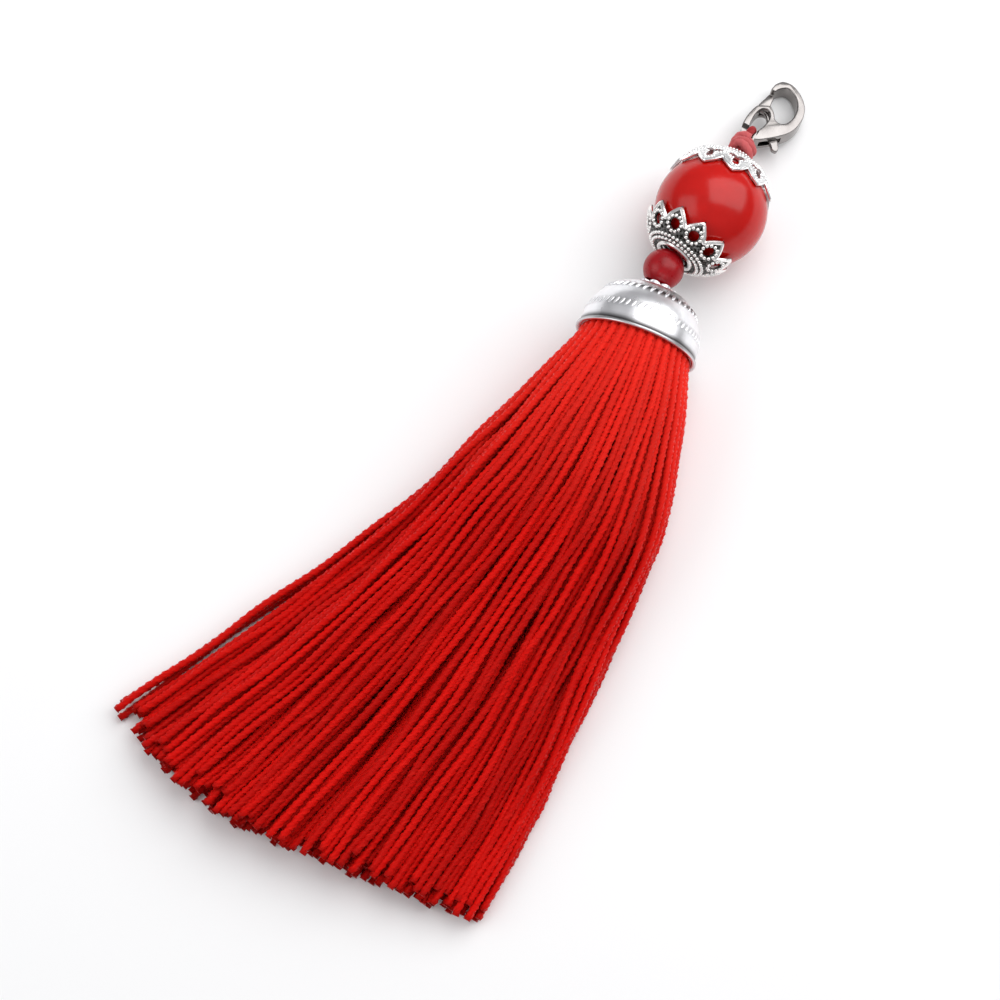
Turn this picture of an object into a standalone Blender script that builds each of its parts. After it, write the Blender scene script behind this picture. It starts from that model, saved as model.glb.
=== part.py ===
"""A silk tassel with two red beads, silver caps and a lobster clasp, lying on its side.

Metres, +Z up. The tassel lies along Y, its tail at -Y and its clasp at +Y. The origin is the
small flat spot on which the large bead rests. Sizes are named in millimetres and turned into
metres as each mesh is made.
"""
from collections import namedtuple
from math import cos, pi, radians, sin

import bmesh
import bpy
import numpy as np
from mathutils import Matrix, Vector

MM = 0.001
GAP = 0.25                    # clearance between neighbouring hard pieces

# Large bead, resting on a small flat spot
BEAD_RADIUS = 8.0
BEAD_BORE = 1.6
FLAT_SPOT = 0.12              # how much of the bead's underside is ground flat
BEAD_CENTRE = Vector((0.0, 0.0, BEAD_RADIUS - FLAT_SPOT))
LARGE_FACETS = (19, 36)       # rings and sides of a bead's surface
SMALL_FACETS = (11, 20)

# Small bead and the line of the cord below the large bead
SMALL_RADIUS = 2.9
SMALL_BORE = 1.1
LOWER_LINE = Vector((-1.05, -11.2, 0.76)).normalized()
SMALL_DISTANCE = 11.4         # between the two beads' centres

# Line of the cord above the large bead: it leans left and drops towards the clasp
UPPER_LINE = Vector((-0.165, 0.985, -0.05)).normalized()
BORE_LINE = (UPPER_LINE - LOWER_LINE).normalized()

# Bead caps: thin shells that sit on the large bead by their petals and stand off it in between
CAP_INNER = BEAD_RADIUS + GAP
CAP_THICK = 0.32
CAP_PETALS = 11
CAP_STEPS = 4 * CAP_PETALS
CAP_ROWS = 6
CAP_SEAT = 57.0               # degrees from a cap's pole past which it follows the bead
RING_OUTER = 3.0              # plain raised ring around the lower cap's hole
RING_RISE = 0.2
RING_EDGE = 0.1               # how far the ring's top is set back from its outer side
# rise: how far the shell would stand off at its pole; flat: height of its level top inside;
# tip and valley: degrees from the pole to the petals' ends and to the notches between them
Cap = namedtuple("Cap", "name line turn hole rise flat tip valley pointed ring")
LOWER_CAP = Cap("lower_bead_cap", LOWER_LINE, 11.4, 2.3, 1.15, 8.45, 56.0, 44.5, True, True)
UPPER_CAP = Cap("upper_bead_cap", UPPER_LINE, 0.0, 1.6, 0.85, 8.45, 60.5, 54.0, False, False)

# Tassel cap: a bell with its rim on the floor
RIM_RADIUS = 8.85
BELL_STEPS = 40
RIM_CENTRE = Vector((1.5, -23.3, RIM_RADIUS * cos(pi / BELL_STEPS)))
CAP_TURN = radians(11.7)      # the cap leans left of the tassel's main line
CAP_AXIS = Vector((-sin(CAP_TURN), cos(CAP_TURN), 0.0))
BELL_WALL = 0.5
Ring = namedtuple("Ring", "radius height")
BELL = [
    Ring(8.85, 0.0), Ring(8.85, 0.5), Ring(8.6, 0.62), Ring(8.5, 2.7), Ring(8.1, 4.2),
    Ring(7.45, 5.5), Ring(6.5, 6.8), Ring(5.4, 7.85), Ring(4.2, 8.45), Ring(2.75, 8.75),
    Ring(2.75, 9.15), Ring(1.6, 9.5),
]

# Skirt: strands that leave one tied head inside the bell and lie down into a fan
STRAND = 0.64                 # width of a strand
HALF = STRAND / 2             # a strand on the floor lies with its centre at this height
ROOM = 1.10                   # room that each strand takes in the bundle
STRAND_ROWS = 12              # strands across the head, in each direction
PUSHES = 600                  # rounds in which crowded strands give way, by a share each time
PUSH = 0.3
SHAKE = 0.03                  # a slight shaking, which settles, so that no column stays stuck
EDGE_DROP = 0.94              # how far the bundle's top falls to its edges; 1 is a full ellipse
HEAD_RADIUS = 7.6
HEAD_HEIGHTS = (2.0, 3.6)     # underside and top of the head above the rim
ROOT_INSET = 0.29             # distance between a strand's root and its cell's edge
LENGTH_SPREAD = 1.3           # how unevenly the ends are cut
SEED = 7
Section = namedtuple("Section", "left_x left_y right_x right_y bow side top bottom")
SECTIONS = [
    Section(-5.7, -26.2, 9.3, -23.3, 0.0, 8.85, 16.1, 1.60),
    Section(-8.1, -34.7, 13.6, -31.2, 0.2, 6.80, 15.7, HALF),
    Section(-11.7, -49.2, 18.5, -45.3, 0.9, 4.20, 13.6, HALF),
    Section(-17.1, -66.4, 20.9, -63.2, 1.9, 2.20, 11.0, HALF),
    Section(-24.8, -84.5, 23.4, -82.6, 3.2, 1.00, 8.6, HALF),
    Section(-32.5, -102.8, 24.4, -101.4, 4.2, HALF, 6.8, HALF),
]

# Hanging cord
CORD_RADIUS = 0.6
CORD_TURN = 1.5               # radius at which the knot winds round its own stem
KNOT_START = 2.6              # where the winding ends and starts, from the upper cap outwards
KNOT_END = 4.4
KNOT_TURNS = 1.25
KNOT_STEPS = 10
NECK_SHIFT = Vector((-0.35, 0.0, 0.0))      # the cord leans in the bell's hole
SMALL_SHIFT = Vector((0.1, 0.0, 0.0))       # and in the small bead's bore
Turn = namedtuple("Turn", "up along")       # where the cord passes the middle of the eye's bar
EYE_TURNS = [Turn(1.45, -0.7), Turn(1.35, 0.6), Turn(0.0, 1.42), Turn(-1.35, 0.6),
             Turn(-1.5, -0.7)]

# Lobster clasp: flat pieces drawn in the clasp's own frame, +Y towards the claw's end
CLASP_THICK = 2.6
EDGE_ROUND = 0.3
CLASP_PITCH = radians(-12)    # its eye is lifted by the cord, its claw rests on the floor
CLASP_PLACE = Vector((0.0, 24.85, -0.13))
SLOT = (0.6, 2.0)             # the slot's two walls, for the sprung lever
LEVER = (0.9, 1.7)
EYE_SLAB = (0.7, 1.9)         # the eye is thinner than the claw
EYE_CUT = ((-5, -13), (-0.75, -10.3))       # corners of the part of the eye that is thinned
EYE_BAR = (-1.75, -11.5)      # middle of the eye's end bar, which the cord goes round
PIVOT = (0.6, -8.9)
PIN_RADIUS = 0.4
PIN_GAP = 0.3                 # clearance between the pin and the lever's hole
CASTING = [
    (-2.75, -1.83), (-2.05, -0.8), (-0.7, -0.5), (0.75, -1.0), (2.05, -1.95), (2.95, -3.15),
    (3.45, -4.75), (3.4, -6.7), (2.85, -8.2), (1.9, -9.5), (0.7, -10.8), (-0.4, -11.75),
    (-1.6, -12.1), (-2.75, -11.6), (-3.4, -10.5), (-3.55, -9.0), (-3.4, -7.4), (-3.1, -6.5),
    (-2.3, -5.95), (-1.5, -5.6), (-0.6, -6.2), (0.25, -7.2), (1.15, -7.3), (1.9, -6.6),
    (2.2, -5.3), (1.95, -3.75), (1.25, -2.55), (0.15, -1.65), (-0.9, -1.45), (-1.55, -1.9),
    (-2.0, -2.5),
]
CLAW_TIP = [(-2.12, -3.0), (-2.85, -3.0)]
EYE_HOLE = [
    (-2.35, -6.75), (-1.5, -6.35), (-0.75, -7.1), (-0.6, -8.4), (-0.85, -9.8), (-1.3, -10.8),
    (-2.0, -10.95), (-2.4, -10.2), (-2.6, -9.2), (-2.65, -7.9),
]
LEVER_SHAPE = [
    (-3.0, -4.5), (-3.2, -5.9), (-2.75, -6.6), (-1.75, -6.55), (-0.85, -7.5), (-0.5, -8.7),
    (-0.3, -9.6), (0.5, -10.1), (1.5, -10.75), (2.1, -11.35), (2.75, -11.3), (2.85, -10.7),
    (2.35, -9.9), (1.75, -9.1), (1.45, -8.2), (0.75, -7.75), (0.0, -7.0), (-0.65, -6.1),
    (-1.4, -5.5), (-1.75, -4.4),
]
LEVER_TIP = [(-1.9, -3.3), (-2.8, -3.3)]
SLOT_SHAPE = [
    (-4.2, -4.9), (-4.2, -6.95), (-2.1, -6.95), (-0.95, -8.4), (-0.75, -9.75), (-0.25, -10.35),
    (0.25, -13.0), (5.0, -13.0), (4.0, -11.3), (2.6, -9.55), (2.05, -8.6), (1.65, -7.6),
    (1.5, -4.9),
]


def clear_scene():
    """Remove whatever the file holds."""
    for item in list(bpy.data.objects):
        bpy.data.objects.remove(item, do_unlink=True)


def principled(name, colour, roughness, metallic=0.0):
    """A plain material of one colour."""
    material = bpy.data.materials.new(name)
    material.use_nodes = True
    shader = material.node_tree.nodes["Principled BSDF"]
    shader.inputs["Base Color"].default_value = (*colour, 1.0)
    shader.inputs["Roughness"].default_value = roughness
    shader.inputs["Metallic"].default_value = metallic
    material.diffuse_color = (*colour, 1.0)
    return material


def add_object(name, data, material):
    """Link a mesh or curve as an object with one material."""
    item = bpy.data.objects.new(name, data)
    bpy.context.scene.collection.objects.link(item)
    if data.materials:
        data.materials[0] = material
    else:
        data.materials.append(material)
    return item


def finish_mesh(name, shape, material, crease=40):
    """Turn a bmesh drawn in millimetres into a smooth-shaded object in metres."""
    bmesh.ops.scale(shape, vec=(MM, MM, MM), verts=shape.verts)
    bmesh.ops.recalc_face_normals(shape, faces=shape.faces)
    mesh = bpy.data.meshes.new(name)
    shape.to_mesh(mesh)
    shape.free()
    mesh.shade_smooth()
    mesh.set_sharp_from_angle(angle=radians(crease))
    return add_object(name, mesh, material)


def aim(axis):
    """Rotation that turns +Z to the given direction, keeping +X level."""
    side = Vector((axis.y, -axis.x, 0.0)).normalized()
    up = axis.cross(side)
    return Matrix((side, up, axis)).transposed().to_4x4()


def place(item, centre, axis):
    """Set a piece turned about its own Z on a line through a point, in millimetres."""
    item.matrix_world = Matrix.Translation(centre * MM) @ aim(axis)


def smooth_loop(points, steps=3, closed=True):
    """Points of a Catmull-Rom curve through the given points."""
    knots = [Vector(point) for point in points]
    count = len(knots)
    spans = count if closed else count - 1
    curve = []
    for i in range(spans):
        if closed:
            before, start, end, after = (knots[(i + k) % count] for k in (-1, 0, 1, 2))
        else:
            before, start = knots[max(i - 1, 0)], knots[i]
            end, after = knots[i + 1], knots[min(i + 2, count - 1)]
        for step in range(steps):
            t = step / steps
            curve.append(0.5 * (2 * start + (end - before) * t
                                + (2 * before - 5 * start + 4 * end - after) * t ** 2
                                + (3 * start - before - 3 * end + after) * t ** 3))
    if not closed:
        curve.append(knots[-1])
    return curve


def turned(name, profile, steps, material):
    """Spin a closed profile of (radius, height) points round Z into a closed ring."""
    shape = bmesh.new()
    verts = [shape.verts.new((radius, 0.0, height)) for radius, height in profile]
    edges = [shape.edges.new((verts[i - 1], verts[i])) for i in range(len(verts))]
    start = Matrix.Rotation(pi / steps, 3, "Z")
    bmesh.ops.rotate(shape, verts=verts, cent=(0, 0, 0), matrix=start)
    bmesh.ops.spin(shape, geom=verts + edges, cent=(0, 0, 0), axis=(0, 0, 1),
                   angle=2 * pi, steps=steps, use_merge=True)
    return finish_mesh(name, shape, material)


def bead(name, radius, bore, facets, material):
    """A round bead with a straight bore along its own Z."""
    rings, sides = facets
    mouth = np.arcsin(bore / radius)
    angles = np.linspace(mouth, pi - mouth, rings)
    profile = [(radius * sin(a), radius * cos(a)) for a in angles]
    return turned(name, profile, sides, material)


def large_bead(material):
    """The large bead, with its bore along the tassel and a flat spot underneath."""
    item = bead("large_bead", BEAD_RADIUS, BEAD_BORE, LARGE_FACETS, material)
    place(item, BEAD_CENTRE, BORE_LINE)
    to_floor = item.matrix_world.inverted()
    shape = bmesh.new()
    shape.from_mesh(item.data)
    cut = bmesh.ops.bisect_plane(
        shape, geom=shape.verts[:] + shape.edges[:] + shape.faces[:],
        plane_co=to_floor.translation, plane_no=to_floor.to_3x3() @ Vector((0, 0, -1)),
        clear_outer=True)
    rim = [edge for edge in cut["geom_cut"] if isinstance(edge, bmesh.types.BMEdge)]
    bmesh.ops.holes_fill(shape, edges=rim, sides=0)
    bmesh.ops.recalc_face_normals(shape, faces=shape.faces)
    shape.to_mesh(item.data)
    shape.free()
    item.data.shade_smooth()
    item.data.set_sharp_from_angle(angle=radians(5))
    return item


def petal_edge(cap, turn):
    """Angle from the pole to a cap's edge, in degrees, at a turn round its axis."""
    phase = (turn * CAP_PETALS / (2 * pi)) % 1.0
    rise = 1 - abs(2 * phase - 1) if cap.pointed else sin(pi * phase) ** 0.7
    return cap.valley + (cap.tip - cap.valley) * rise


def cap_row(shape, cap, start, share, lift):
    """One row of points round a cap, a share of the way from an angle to its petal edge."""
    row = []
    for step in range(CAP_STEPS):
        turn = 2 * pi * step / CAP_STEPS
        angle = start + (petal_edge(cap, turn) - start) * share
        stand_off = cap.rise * max(1 - (angle / CAP_SEAT) ** 2, 0.0)
        reach = min(CAP_INNER + stand_off, cap.flat / cos(radians(angle))) + lift
        radius = reach * sin(radians(angle))
        turn += radians(cap.turn)
        row.append(shape.verts.new((radius * cos(turn), radius * sin(turn),
                                    reach * cos(radians(angle)))))
    return row


def bead_cap(cap, material):
    """A thin shell on the large bead, its edge cut into petals, round a central hole."""
    def level(radius):
        return np.degrees(np.arctan2(radius, cap.flat))

    shape = bmesh.new()
    shares = np.linspace(1, 0, CAP_ROWS)
    hole = level(cap.hole)
    start = level(RING_OUTER) if cap.ring else hole
    rows = [cap_row(shape, cap, hole, share, 0.0) for share in shares]
    if cap.ring:
        top = CAP_THICK + RING_RISE
        rows.append(cap_row(shape, cap, hole, 0, top))
        rows.append(cap_row(shape, cap, level(RING_OUTER - RING_EDGE), 0, top))
    rows += [cap_row(shape, cap, start, share, CAP_THICK) for share in shares[::-1]]
    for row, after in zip(rows, rows[1:] + rows[:1]):
        for i in range(CAP_STEPS):
            j = (i + 1) % CAP_STEPS
            shape.faces.new((row[i], row[j], after[j], after[i]))
    item = finish_mesh(cap.name, shape, material)
    place(item, BEAD_CENTRE, cap.line)
    return item


def tassel_cap(material):
    """The bell, open at its rim, with a hole for the cord at its top."""
    inner = [Ring(ring.radius - BELL_WALL, max(ring.height - BELL_WALL, 0.0)) for ring in BELL]
    inner[0] = Ring(RIM_RADIUS - BELL_WALL, 0.0)
    inner = [ring for i, ring in enumerate(inner) if i not in (1, 2)]
    inner[-1] = Ring(BELL[-1].radius, BELL[-1].height - BELL_WALL)
    item = turned("tassel_cap", BELL[::-1] + inner, BELL_STEPS, material)
    place(item, RIM_CENTRE, CAP_AXIS)
    return item


def disc_point(across, up):
    """Map a square from -1 to 1 onto a disc of radius 1, keeping areas equal."""
    if across == 0 and up == 0:
        return 0.0, 0.0
    if abs(across) > abs(up):
        turn = pi / 4 * up / across
        return across * cos(turn), across * sin(turn)
    turn = pi / 2 - pi / 4 * across / up
    return up * cos(turn), up * sin(turn)


def lay_strand(section, across, up):
    """Where a strand at a place in the round bundle lies in one section of the skirt."""
    left = np.array([section.left_x, section.left_y])
    right = np.array([section.right_x, section.right_y])
    level = left + (right - left) * (across + 1) / 2
    level[1] -= section.bow * (1 - across ** 2)
    reach = section.top - section.side if up > 0 else section.side - section.bottom
    return np.array([level[0], level[1], section.side + reach * up])


def find_place(section, spot):
    """The place in the round bundle of a strand that lies at a spot in one section."""
    across = 2 * (spot[0] - section.left_x) / (section.right_x - section.left_x) - 1
    rise = spot[2] - section.side
    reach = section.top - section.side if rise > 0 else section.side - section.bottom
    return across, rise / reach if reach > 0 else 0.0


def make_room(places, section):
    """Push strands apart until each has its own room between the floor and the bundle's top."""
    places = places.copy()
    centre = (section.left_x + section.right_x) / 2
    half_width = (section.right_x - section.left_x) / 2
    chance = np.random.default_rng(SEED)
    for turn in range(PUSHES):
        shake = SHAKE * (1 - turn / PUSHES)
        places[:, 0] += chance.uniform(-shake, shake, len(places))
        across = places[:, None, 0] - places[None, :, 0]
        up = places[:, None, 2] - places[None, :, 2]
        apart = np.hypot(across, up)
        np.fill_diagonal(apart, ROOM)
        push = PUSH * np.maximum(ROOM - apart, 0) / apart
        places[:, 0] += (push * across).sum(axis=1)
        places[:, 2] += (push * up).sum(axis=1)
        places[:, 0] = np.clip(places[:, 0], section.left_x, section.right_x)
        reach = np.clip(abs(places[:, 0] - centre) / half_width, 0, 1)
        roof = section.side + (section.top - section.side) * np.sqrt(1 - EDGE_DROP * reach ** 2)
        places[:, 2] = np.clip(places[:, 2], section.bottom, np.maximum(roof, section.bottom))
    return places


def strand_paths():
    """The centres of all strands in each section, from the bell to the tail."""
    steps = (np.arange(STRAND_ROWS) + 0.5) * 2 / STRAND_ROWS - 1
    bundle = [disc_point(a, b) for b in steps for a in steps]
    stations = []
    for section in SECTIONS:
        laid = np.array([lay_strand(section, across, up) for across, up in bundle])
        roomy = make_room(laid, section) if stations else laid
        bundle = [find_place(section, spot) for spot in roomy]
        stations.append(roomy)
    chance = np.random.default_rng(SEED)
    stations[-1][:, 1] += chance.uniform(-LENGTH_SPREAD, LENGTH_SPREAD, len(bundle))
    return stations


def skirt(material):
    """The head, and from each place on its underside one strand to the tail."""
    low, high = HEAD_HEIGHTS
    shape = bmesh.new()
    ticks = np.linspace(-1, 1, STRAND_ROWS + 1)
    turn = aim(CAP_AXIS).to_3x3()
    base = RIM_CENTRE + CAP_AXIS * low
    corner = {}
    for i, b in enumerate(ticks):
        for j, a in enumerate(ticks):
            x, y = disc_point(a, b)
            spot = turn @ Vector((x * HEAD_RADIUS, -y * HEAD_RADIUS, 0.0))
            corner[i, j] = shape.verts.new(base + spot)
    cells = []
    for i in range(STRAND_ROWS):
        for j in range(STRAND_ROWS):
            quad = (corner[i, j], corner[i, j + 1], corner[i + 1, j + 1], corner[i + 1, j])
            cells.append(shape.faces.new(quad))
    rim = [edge for edge in shape.edges if edge.is_boundary]
    wall = bmesh.ops.extrude_edge_only(shape, edges=rim)["geom"]
    top = [item for item in wall if isinstance(item, bmesh.types.BMVert)]
    bmesh.ops.translate(shape, verts=top, vec=CAP_AXIS * (high - low))
    lid = [edge for edge in shape.edges if edge.is_boundary]
    bmesh.ops.holes_fill(shape, edges=lid, sides=0)
    bmesh.ops.recalc_face_normals(shape, faces=shape.faces)
    bmesh.ops.inset_individual(shape, faces=cells, thickness=ROOT_INSET)
    square = [(-HALF, -HALF), (HALF, -HALF), (HALF, HALF), (-HALF, HALF)]
    for station in strand_paths():
        for number, cell in enumerate(cells):
            centre = station[number]
            grown = bmesh.ops.extrude_discrete_faces(shape, faces=[cell])["faces"][0]
            cells[number] = grown
            middle = grown.calc_center_median()
            corners = sorted_corners(grown, middle)
            for vert, (dx, dz) in zip(corners, square):
                vert.co = Vector((centre[0] + dx, centre[1], centre[2] + dz))
    return finish_mesh("skirt", shape, material)


def sorted_corners(face, middle):
    """A quad's corners from the lower left, round to the upper left, seen along Y."""
    def turn(vert):
        away = vert.co - middle
        return np.arctan2(away.z, away.x)
    return sorted(face.verts, key=turn)


def plate(name, outline, holes, levels, material):
    """A flat piece with holes, between two levels."""
    shape = bmesh.new()
    for loop in [outline, *holes]:
        verts = [shape.verts.new((x, y, levels[0])) for x, y in loop]
        for i, vert in enumerate(verts):
            shape.edges.new((verts[i - 1], vert))
    bmesh.ops.triangle_fill(shape, edges=shape.edges[:], use_beauty=True)
    bmesh.ops.dissolve_limit(shape, angle_limit=0.01, verts=shape.verts, edges=shape.edges)
    faces = bmesh.ops.extrude_face_region(shape, geom=shape.faces[:])["geom"]
    raised = [item for item in faces if isinstance(item, bmesh.types.BMVert)]
    bmesh.ops.translate(shape, verts=raised, vec=(0, 0, levels[1] - levels[0]))
    return finish_mesh(name, shape, material, crease=50)


def circle(centre, radius, steps=12):
    """Points on a circle."""
    return [(centre[0] + radius * cos(2 * pi * i / steps),
             centre[1] + radius * sin(2 * pi * i / steps)) for i in range(steps)]


def block(name, corners, levels, material):
    """An upright box between two corners and two levels, in millimetres."""
    (left, back), (right, front) = corners
    outline = [(left, back), (right, back), (right, front), (left, front)]
    return plate(name, outline, [], levels, material)


def cut_away(item, cutter):
    """Subtract a cutter and hide it."""
    cutter.hide_render = True
    cutter.display_type = "WIRE"
    modifier = item.modifiers.new(cutter.name, "BOOLEAN")
    modifier.operation = "DIFFERENCE"
    modifier.object = cutter
    modifier.solver = "EXACT"


def round_edges(item, width):
    """Round a plate's sharp edges."""
    modifier = item.modifiers.new("rounded edges", "BEVEL")
    modifier.width = width * MM
    modifier.segments = 1
    modifier.limit_method = "ANGLE"
    modifier.angle_limit = radians(50)


def clasp(casting_metal, lever_metal):
    """The casting, with its slot and cross pin, and the lever that turns on the pin."""
    pose = bpy.data.objects.new("clasp_pose", None)
    bpy.context.scene.collection.objects.link(pose)
    pose.location = CLASP_PLACE * MM
    pose.rotation_euler = (CLASP_PITCH, 0, 0)

    outline = smooth_loop(CASTING, closed=False) + [Vector(point) for point in CLAW_TIP]
    body = plate("clasp_body", outline, [smooth_loop(EYE_HOLE, 2)], (0, CLASP_THICK),
                 casting_metal)
    round_edges(body, EDGE_ROUND)
    slot = plate("slot_cutter", SLOT_SHAPE, [circle(PIVOT, PIN_RADIUS)], SLOT, casting_metal)
    below = block("eye_cutter_below", EYE_CUT, (-1, EYE_SLAB[0]), casting_metal)
    above = block("eye_cutter_above", EYE_CUT, (EYE_SLAB[1], CLASP_THICK + 1), casting_metal)
    for cutter in (slot, below, above):
        cut_away(body, cutter)
        cutter.parent = pose
    body.parent = pose

    pivot = bpy.data.objects.new("gate_pivot", None)
    bpy.context.scene.collection.objects.link(pivot)
    pivot.parent = pose
    pivot.location = Vector((*PIVOT, 0.0)) * MM
    shape = smooth_loop(LEVER_SHAPE, closed=False) + [Vector(point) for point in LEVER_TIP]
    from_pin = [(x - PIVOT[0], y - PIVOT[1]) for x, y in shape]
    bore = circle((0, 0), PIN_RADIUS + PIN_GAP)
    gate = plate("clasp_gate", from_pin, [bore], LEVER, lever_metal)
    gate.parent = pivot
    return body, gate


def cord_route():
    """The cord from the head, up the bores, round the clasp's eye and round itself."""
    low = RIM_CENTRE + CAP_AXIS * (HEAD_HEIGHTS[1] + CORD_RADIUS)
    neck = RIM_CENTRE + CAP_AXIS * BELL[-1].height + NECK_SHIFT
    small = BEAD_CENTRE + LOWER_LINE * SMALL_DISTANCE + SMALL_SHIFT
    enter = BEAD_CENTRE + (LOWER_LINE * (LOWER_CAP.flat + CAP_THICK) - BORE_LINE * BEAD_RADIUS) / 2
    leave = BEAD_CENTRE + (UPPER_LINE * (UPPER_CAP.flat + CAP_THICK) + BORE_LINE * BEAD_RADIUS) / 2
    pitch = Matrix.Rotation(CLASP_PITCH, 3, "X")
    bar = CLASP_PLACE + pitch @ Vector((*EYE_BAR, CLASP_THICK / 2))
    over = pitch @ Vector((0, 0, 1))
    ahead = pitch @ Vector((0, 1, 0))
    stem = (bar - leave).normalized()
    route = [low, low.lerp(neck, 0.5), neck, small, enter, BEAD_CENTRE, leave,
             leave + stem * KNOT_START, leave + stem * KNOT_END]
    for spot in EYE_TURNS:
        route.append(bar + over * spot.up + ahead * spot.along)
    side = stem.cross(over).normalized()
    below = stem.cross(side).normalized()
    for i in range(KNOT_STEPS + 1):
        share = i / KNOT_STEPS
        angle = 2 * pi * KNOT_TURNS * share
        along = KNOT_END + (KNOT_START - KNOT_END) * share
        around = below * cos(angle) + side * sin(angle)
        route.append(leave + stem * along + around * CORD_TURN)
    return route


def hanging_cord(material):
    """One round cord with filled ends."""
    points = smooth_loop(cord_route(), 2, closed=False)
    curve = bpy.data.curves.new("hanging_cord", "CURVE")
    curve.dimensions = "3D"
    curve.bevel_depth = CORD_RADIUS * MM
    curve.bevel_resolution = 2
    curve.use_fill_caps = True
    spline = curve.splines.new("POLY")
    spline.points.add(len(points) - 1)
    for spot, point in zip(spline.points, points):
        spot.co = (*(point * MM), 1.0)
    return add_object("hanging_cord", curve, material)


def build():
    """Make every piece of the tassel."""
    clear_scene()
    silk = principled("silk", (0.78, 0.02, 0.02), 0.45)
    bright = principled("bright_silver", (0.86, 0.86, 0.88), 0.2, 1.0)
    dark = principled("dark_silver", (0.62, 0.62, 0.62), 0.3, 1.0)
    red = principled("red_bead", (0.6, 0.01, 0.01), 0.1)
    coral = principled("small_red_bead", (0.5, 0.01, 0.02), 0.3)
    cord = principled("cord", (0.55, 0.02, 0.03), 0.35)
    steel = principled("clasp_metal", (0.8, 0.8, 0.8), 0.2, 1.0)

    skirt(silk)
    tassel_cap(bright)
    small = bead("small_bead", SMALL_RADIUS, SMALL_BORE, SMALL_FACETS, coral)
    place(small, BEAD_CENTRE + LOWER_LINE * SMALL_DISTANCE, LOWER_LINE)
    bead_cap(LOWER_CAP, dark)
    large_bead(red)
    bead_cap(UPPER_CAP, bright)
    hanging_cord(cord)
    clasp(steel, steel)


build()
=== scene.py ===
"""The looks of a silk tassel with two red beads, silver caps and a lobster clasp.

Lengths are named in millimetres, in the solids' own frame: the tassel lies along Y, its tail at
-Y, and the origin is the flat spot under the large bead.
"""
from collections import namedtuple
from math import cos, pi, radians, sin, tau

import bmesh
import bpy
import numpy as np
from mathutils import Matrix, Vector


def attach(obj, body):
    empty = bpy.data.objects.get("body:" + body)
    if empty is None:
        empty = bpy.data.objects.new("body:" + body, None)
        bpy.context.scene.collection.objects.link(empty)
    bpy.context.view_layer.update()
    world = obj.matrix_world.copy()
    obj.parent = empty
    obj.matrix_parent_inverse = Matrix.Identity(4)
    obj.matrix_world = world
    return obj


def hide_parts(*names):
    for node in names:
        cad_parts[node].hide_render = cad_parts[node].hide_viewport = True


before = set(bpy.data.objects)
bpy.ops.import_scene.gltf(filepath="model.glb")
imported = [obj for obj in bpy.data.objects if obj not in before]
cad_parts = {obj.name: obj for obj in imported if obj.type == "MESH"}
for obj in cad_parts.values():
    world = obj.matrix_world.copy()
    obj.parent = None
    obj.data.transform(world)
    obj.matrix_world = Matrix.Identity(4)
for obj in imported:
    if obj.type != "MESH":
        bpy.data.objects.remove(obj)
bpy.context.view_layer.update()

MM = 0.001
SEED = 7

# Camera and light
CAMERA_SPOT = Vector((48.25, -133.64, 378.4))
CAMERA_AZIMUTH = radians(32.0)
CAMERA_ELEVATION = radians(75.4)
CAMERA_LENS = 100.0
Light = namedtuple("Light", "name direction width height distance radiance")
LIGHT_EDGE = Vector((0.848, 0.53, 0.0))     # the level direction of each softbox's long edge
LIGHTS = [
    Light("key_softbox", (0.25, 0.53, 0.81), 620, 450, 420, 2.5),
    Light("fill_softbox", (-0.62, -0.50, 0.60), 330, 330, 480, 1.6),
]
SKY = ("#8C8C8E", "#C4C4C6", 0.9)           # low tone, high tone and strength
FLOOR_HALF = 1500
FLOOR_DROP = 0.02                           # keeps the floor clear of the pieces that lie on it

# Beads
BEAD_RADIUS = 8.0
BEAD_BORE = 1.6
FLAT_SPOT = 0.12
BEAD_CENTRE = Vector((0.0, 0.0, BEAD_RADIUS - FLAT_SPOT))
SMALL_RADIUS = 2.9
SMALL_BORE = 1.1
SMALL_DISTANCE = 11.4
LOWER_LINE = Vector((-1.05, -11.2, 0.76)).normalized()
UPPER_LINE = Vector((-0.165, 0.985, -0.05)).normalized()
BORE_LINE = (UPPER_LINE - LOWER_LINE).normalized()

# Bead caps: pierced shells that sit on the large bead by their petals and stand off in between
CAP_INNER = 8.25
CAP_THICK = 0.32
CAP_SEAT = 57.0
PETALS = 11
PETAL_STEPS = 12
OPENING_STEPS = 96
RING_MIDDLE = 2.68            # the plain ring that holds the small bead
RING_WIRE = 0.34
GRAIN_SPACING = 2.35          # grains' distance as a share of their radius
Opening = namedtuple("Opening", "middle tall wide lobes depth")
Cap = namedtuple("Cap", "name line turn hole rise flat tip valley arch foot collar wire grain "
                        "openings grains")
LOWER_CAP = Cap(
    name="lower_bead_cap_filigree", line=LOWER_LINE, turn=11.4, hole=2.3, rise=1.15, flat=8.45,
    tip=56.0, valley=42.0, arch=0.85, foot=29.5, collar=21.0, wire=0.3, grain=0.29,
    openings=(Opening(38.0, 5.0, 4.6, 1, 0.22), Opening(25.2, 1.0, 1.0, 0, 0.0)),
    grains=(23.4, 27.6))
UPPER_CAP = Cap(
    name="upper_bead_cap_filigree", line=UPPER_LINE, turn=0.0, hole=1.6, rise=0.85, flat=8.45,
    tip=65.0, valley=51.0, arch=0.7, foot=35.0, collar=17.0, wire=0.24, grain=0.21,
    openings=(Opening(46.5, 6.0, 6.6, 3, 0.5), Opening(28.0, 3.4, 2.6, 0, 0.0)),
    grains=(18.5, 36.0))

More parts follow.
